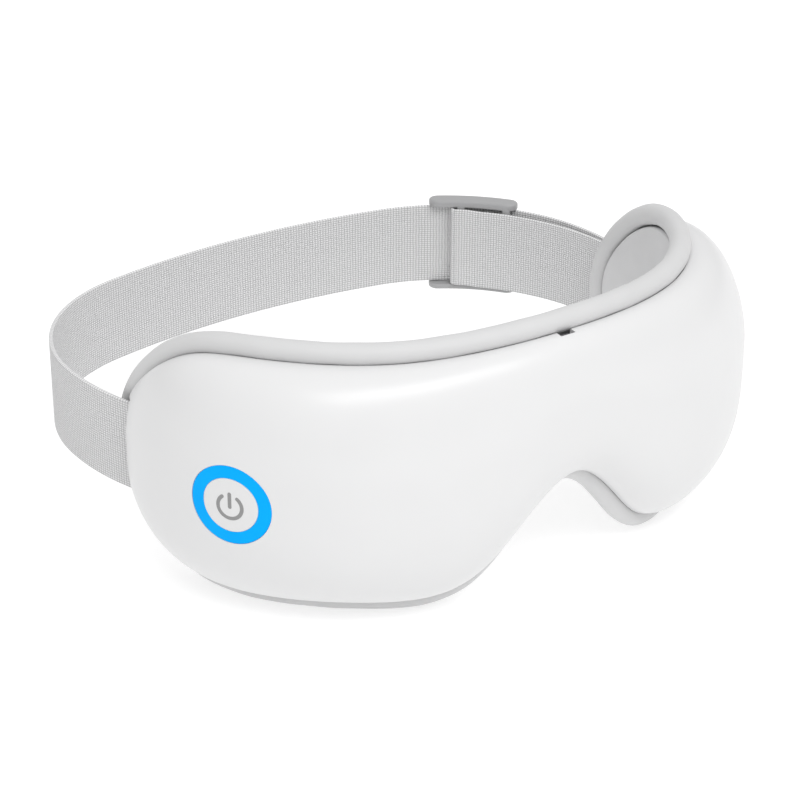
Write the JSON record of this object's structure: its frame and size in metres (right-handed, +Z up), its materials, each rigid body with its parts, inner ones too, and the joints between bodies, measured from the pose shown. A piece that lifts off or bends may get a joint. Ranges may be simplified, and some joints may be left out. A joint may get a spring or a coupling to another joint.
{
  "type": "eye massager mask",
  "caption": "Wrap-around massager mask for the eyes, with soft face pads, a lit power button and an adjustable elastic head strap.",
  "frame": {"origin": "centre of the bounding box's bottom face, on the surface that the mask stands on", "axes": "+Z up as worn, the mask's front faces -Y and the head strap runs to +Y, +X to the viewer's right when the front is looked at"},
  "size_m": [0.218, 0.1923, 0.0893],
  "materials": {
    "shell_white": "glossy white moulded plastic",
    "button_white": "satin white moulded plastic",
    "roll_grey": "smooth soft light grey edge roll",
    "panel_grey": "smooth padded grey skin",
    "frame_grey": "matt grey moulded plastic",
    "ring_blue": "bright blue light guide",
    "mark_grey": "mid grey inlaid mark",
    "webbing_grey": "light grey woven elastic, fine plain weave",
    "slider_grey": "satin grey moulded plastic",
    "steel": "plain steel",
    "brass": "machined brass",
    "board_green": "green circuit board",
    "black_plastic": "matt black plastic",
    "housing_ivory": "ivory moulded plastic",
    "film_amber": "amber film heater",
    "rubber_clear": "milky flexible rubber",
    "battery_blue": "blue heat-shrink wrapper"
  },
  "bodies": {
    "mask": {"front_shell": "shell_white", "inner_frame": "frame_grey", "cushion_roll": "roll_grey", "face_panel": "panel_grey", "screw_left_1": "steel", "screw_left_2": "steel", "screw_left_3": "steel", "screw_right_1": "steel", "screw_right_2": "steel", "screw_right_3": "steel", "air_bladder_left": "rubber_clear", "air_bladder_right": "rubber_clear", "light_ring": "ring_blue", "button_spring": "rubber_clear", "light_board": "board_green", "tact_switch": "black_plastic", "main_board": "board_green", "battery": "battery_blue", "pump_motor": "steel", "pump_body": "housing_ivory", "valve_body": "housing_ivory", "vibration_motor_left": "steel", "vibration_motor_right": "steel", "speaker": "black_plastic", "charge_socket": "steel", "socket_tongue": "black_plastic", "socket_board": "black_plastic", "air_tube_left": "rubber_clear", "air_tube_right": "rubber_clear", "pivot_pin_left": "steel", "pivot_pin_right": "steel"},
    "power_button": {"button_cap": "button_white", "power_mark_arc": "mark_grey", "power_mark_bar": "mark_grey"},
    "head_strap": {"strap": "webbing_grey", "strap_return": "webbing_grey", "strap_tab_left": "black_plastic", "strap_tab_right": "black_plastic"},
    "strap_slider": {"slider": "slider_grey"},
    "eye_pad_left": {"eye_cushion_left": "panel_grey", "heating_film_left": "film_amber"},
    "eye_pad_right": {"eye_cushion_right": "panel_grey", "heating_film_right": "film_amber"},
    "pump_wheel": {"pump_eccentric": "brass"},
    "vibration_rotor_left": {"vibration_weight_left": "brass"},
    "vibration_rotor_right": {"vibration_weight_right": "brass"},
    "release_pin": {"valve_plunger": "steel"}
  },
  "joints": [
    {"name": "power_button_press", "type": "slide", "parent": "mask", "child": "power_button", "axis": [0.8825, 0.4702, 0.0039], "range_m": [0, 0.0006], "stiffness_N_per_m": 900, "deforming": ["button_spring"]},
    {"name": "strap_swing", "type": "hinge", "parent": "mask", "child": "head_strap", "pos_m": [0, -0.01171, 0.0408], "axis": [1, 0, 0], "range_deg": [-4.5, 4.5]},
    {"name": "slider_adjust", "type": "hinge", "parent": "head_strap", "child": "strap_slider", "pos_m": [0.0429, 0.02882, 0.0408], "axis": [0, 0, 1], "range_deg": [-16, 20], "deforming": ["strap_return"]},
    {"name": "eye_pad_left_press", "type": "slide", "parent": "mask", "child": "eye_pad_left", "axis": [0.2715, 0.9624, 0], "range_m": [0, 0.003], "stiffness_N_per_m": 300, "deforming": ["air_bladder_left"]},
    {"name": "eye_pad_right_press", "type": "slide", "parent": "mask", "child": "eye_pad_right", "axis": [-0.2715, 0.9624, 0], "range_m": [0, 0.003], "stiffness_N_per_m": 300, "deforming": ["air_bladder_right"]},
    {"name": "pump_spin", "type": "hinge", "parent": "mask", "child": "pump_wheel", "pos_m": [0.07115, -0.07068, 0.056], "axis": [0.7817, 0.6236, 0], "continuous": true},
    {"name": "vibration_left_spin", "type": "hinge", "parent": "mask", "child": "vibration_rotor_left", "pos_m": [-0.03044, -0.0855, 0.0707], "axis": [-0.9709, 0.2393, 0], "continuous": true},
    {"name": "vibration_right_spin", "type": "hinge", "parent": "mask", "child": "vibration_rotor_right", "pos_m": [0.03044, -0.0855, 0.0707], "axis": [0.9709, 0.2393, 0], "continuous": true},
    {"name": "air_release", "type": "slide", "parent": "mask", "child": "release_pin", "axis": [0, 0, -1], "range_m": [0, 0.001], "stiffness_N_per_m": 150}
  ],
  "couplings": [
    {"joint": "eye_pad_right_press", "follows": "eye_pad_left_press", "ratio": 1}
  ]
}
